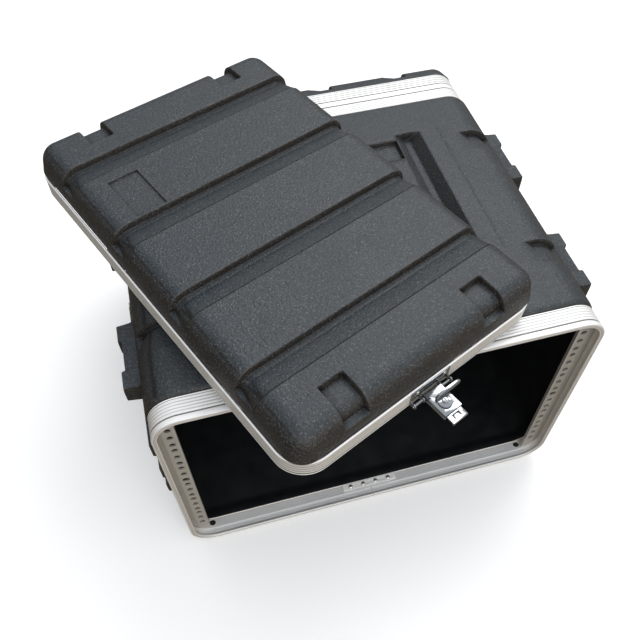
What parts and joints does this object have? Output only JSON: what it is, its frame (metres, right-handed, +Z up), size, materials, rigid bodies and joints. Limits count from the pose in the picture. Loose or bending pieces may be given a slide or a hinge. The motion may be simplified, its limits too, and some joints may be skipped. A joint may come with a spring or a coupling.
{
  "type": "rack equipment case",
  "caption": "Moulded black rack equipment case with bright metal edge frames, rack rails, butterfly latches, side handles and two lift-off lids, one lid lying on top.",
  "frame": {"origin": "middle of the front rack hole pattern, in the plane of the front faces of the front rails", "axes": "+X to the right seen from the open front, +Y from the front opening to the rear lid, +Z up"},
  "size_m": [0.5912, 0.5879, 0.4112],
  "materials": {
    "moulded_body": "fine pebble grain, black, worn on its edges",
    "metal_frame": "bright satin extrusion",
    "rail": "satin grey",
    "plated_steel": "bright zinc plate",
    "grip": "smooth black moulded grip"
  },
  "bodies": {
    "case": {"body_shell": "moulded_body", "front_frame": "metal_frame", "rear_frame": "metal_frame", "front_frame_splice": "metal_frame", "rear_frame_splice": "metal_frame", "frame_splice_rivets": "plated_steel", "front_rail_left": "rail", "front_rail_right": "rail", "rear_rail_left": "rail", "rear_rail_right": "rail", "rail_rivets": "plated_steel", "front_keeper_left": "plated_steel", "front_keeper_right": "plated_steel", "rear_keeper_left": "plated_steel", "rear_keeper_right": "plated_steel", "keeper_rivets": "plated_steel", "handle_plate_left": "plated_steel", "handle_plate_right": "plated_steel", "handle_rivets": "plated_steel"},
    "bail_left": {"handle_bail_left": "plated_steel", "handle_grip_left": "grip"},
    "bail_right": {"handle_bail_right": "plated_steel", "handle_grip_right": "grip"},
    "front_lid": {"front_lid_shell": "moulded_body", "front_lid_frame": "metal_frame", "front_lid_splice": "metal_frame", "front_lid_rivets": "plated_steel", "front_latch_left_bracket": "plated_steel", "front_latch_left_pin": "plated_steel", "front_latch_right_bracket": "plated_steel", "front_latch_right_pin": "plated_steel"},
    "rear_lid": {"rear_lid_shell": "moulded_body", "rear_lid_frame": "metal_frame", "rear_lid_splice": "metal_frame", "rear_lid_rivets": "plated_steel", "rear_latch_left_bracket": "plated_steel", "rear_latch_left_pin": "plated_steel", "rear_latch_right_bracket": "plated_steel", "rear_latch_right_pin": "plated_steel"},
    "front_latch_right": {"front_latch_right_plate": "plated_steel"},
    "front_latch_right_hook": {"front_latch_right_hook": "plated_steel"},
    "front_latch_right_wing": {"front_latch_right_wing": "plated_steel"},
    "front_latch_left": {"front_latch_left_plate": "plated_steel"},
    "front_latch_left_hook": {"front_latch_left_hook": "plated_steel"},
    "front_latch_left_wing": {"front_latch_left_wing": "plated_steel"},
    "rear_latch_left": {"rear_latch_left_plate": "plated_steel"},
    "rear_latch_left_hook": {"rear_latch_left_hook": "plated_steel"},
    "rear_latch_left_wing": {"rear_latch_left_wing": "plated_steel"},
    "rear_latch_right": {"rear_latch_right_plate": "plated_steel"},
    "rear_latch_right_hook": {"rear_latch_right_hook": "plated_steel"},
    "rear_latch_right_wing": {"rear_latch_right_wing": "plated_steel"}
  },
  "joints": [
    {"name": "bail_left_hinge", "type": "hinge", "parent": "case", "child": "bail_left", "pos_m": [-0.2635, 0.2065, 0.03], "axis": [0, 1, 0], "range_deg": [0, 90]},
    {"name": "bail_right_hinge", "type": "hinge", "parent": "case", "child": "bail_right", "pos_m": [0.2635, 0.2065, 0.03], "axis": [0, -1, 0], "range_deg": [0, 90]},
    {"name": "front_lid_lift", "type": "slide", "parent": "case", "child": "front_lid", "axis": [0, 0, 1], "range_m": [0, 0.25]},
    {"name": "rear_lid_pull", "type": "slide", "parent": "case", "child": "rear_lid", "axis": [0, 1, 0], "range_m": [0, 0.25]},
    {"name": "front_latch_right_swing", "type": "hinge", "parent": "front_lid", "child": "front_latch_right", "pos_m": [0.0271, -0.05341, 0.17655], "axis": [-0.9108, -0.412, 0.0253], "range_deg": [-90, 30], "stiffness_Nm_per_rad": 0.15},
    {"name": "front_latch_right_wing_turn", "type": "hinge", "parent": "front_latch_right", "child": "front_latch_right_wing", "pos_m": [0.03368, -0.06798, 0.17609], "axis": [-0.0349, 0.0158, -0.9993], "range_deg": [0, 180]},
    {"name": "front_latch_right_hook_draw", "type": "slide", "parent": "front_latch_right", "child": "front_latch_right_hook", "axis": [-0.4113, 0.911, 0.0288], "range_m": [0, 0.006]},
    {"name": "front_latch_left_swing", "type": "hinge", "parent": "front_lid", "child": "front_latch_left", "pos_m": [-0.18268, 0.41122, 0.19124], "axis": [0.9108, 0.412, -0.0253], "range_deg": [0, 75], "stiffness_Nm_per_rad": 0.15},
    {"name": "front_latch_left_wing_turn", "type": "hinge", "parent": "front_latch_left", "child": "front_latch_left_wing", "pos_m": [-0.18773, 0.4217, 0.18026], "axis": [0.2662, -0.633, -0.7269], "range_deg": [0, 180]},
    {"name": "front_latch_left_hook_draw", "type": "slide", "parent": "front_latch_left", "child": "front_latch_left_hook", "axis": [0.3155, -0.6554, 0.6862], "range_m": [0, 0.006]},
    {"name": "rear_latch_left_swing", "type": "hinge", "parent": "rear_lid", "child": "rear_latch_left", "pos_m": [-0.255, 0.4313, 0], "axis": [0, 0, -1], "range_deg": [-25, 95], "stiffness_Nm_per_rad": 0.15},
    {"name": "rear_latch_left_wing_turn", "type": "hinge", "parent": "rear_latch_left", "child": "rear_latch_left_wing", "pos_m": [-0.26176, 0.4168, 0], "axis": [0.9063, -0.4226, 0], "range_deg": [0, 180]},
    {"name": "rear_latch_left_hook_draw", "type": "slide", "parent": "rear_latch_left", "child": "rear_latch_left_hook", "axis": [0.4226, 0.9063, 0], "range_m": [0, 0.006]},
    {"name": "rear_latch_right_swing", "type": "hinge", "parent": "rear_lid", "child": "rear_latch_right", "pos_m": [0.255, 0.4313, 0], "axis": [0, 0, 1], "range_deg": [-25, 95], "stiffness_Nm_per_rad": 0.15},
    {"name": "rear_latch_right_wing_turn", "type": "hinge", "parent": "rear_latch_right", "child": "rear_latch_right_wing", "pos_m": [0.26176, 0.4168, 0], "axis": [-0.9063, -0.4226, 0], "range_deg": [0, 180]},
    {"name": "rear_latch_right_hook_draw", "type": "slide", "parent": "rear_latch_right", "child": "rear_latch_right_hook", "axis": [-0.4226, 0.9063, 0], "range_m": [0, 0.006]}
  ],
  "couplings": [
    {"joint": "front_latch_right_hook_draw", "follows": "front_latch_right_wing_turn", "m_per_rad": 0.001909},
    {"joint": "front_latch_left_hook_draw", "follows": "front_latch_left_wing_turn", "m_per_rad": 0.001909},
    {"joint": "rear_latch_left_hook_draw", "follows": "rear_latch_left_wing_turn", "m_per_rad": 0.001909},
    {"joint": "rear_latch_right_hook_draw", "follows": "rear_latch_right_wing_turn", "m_per_rad": 0.001909}
  ]
}
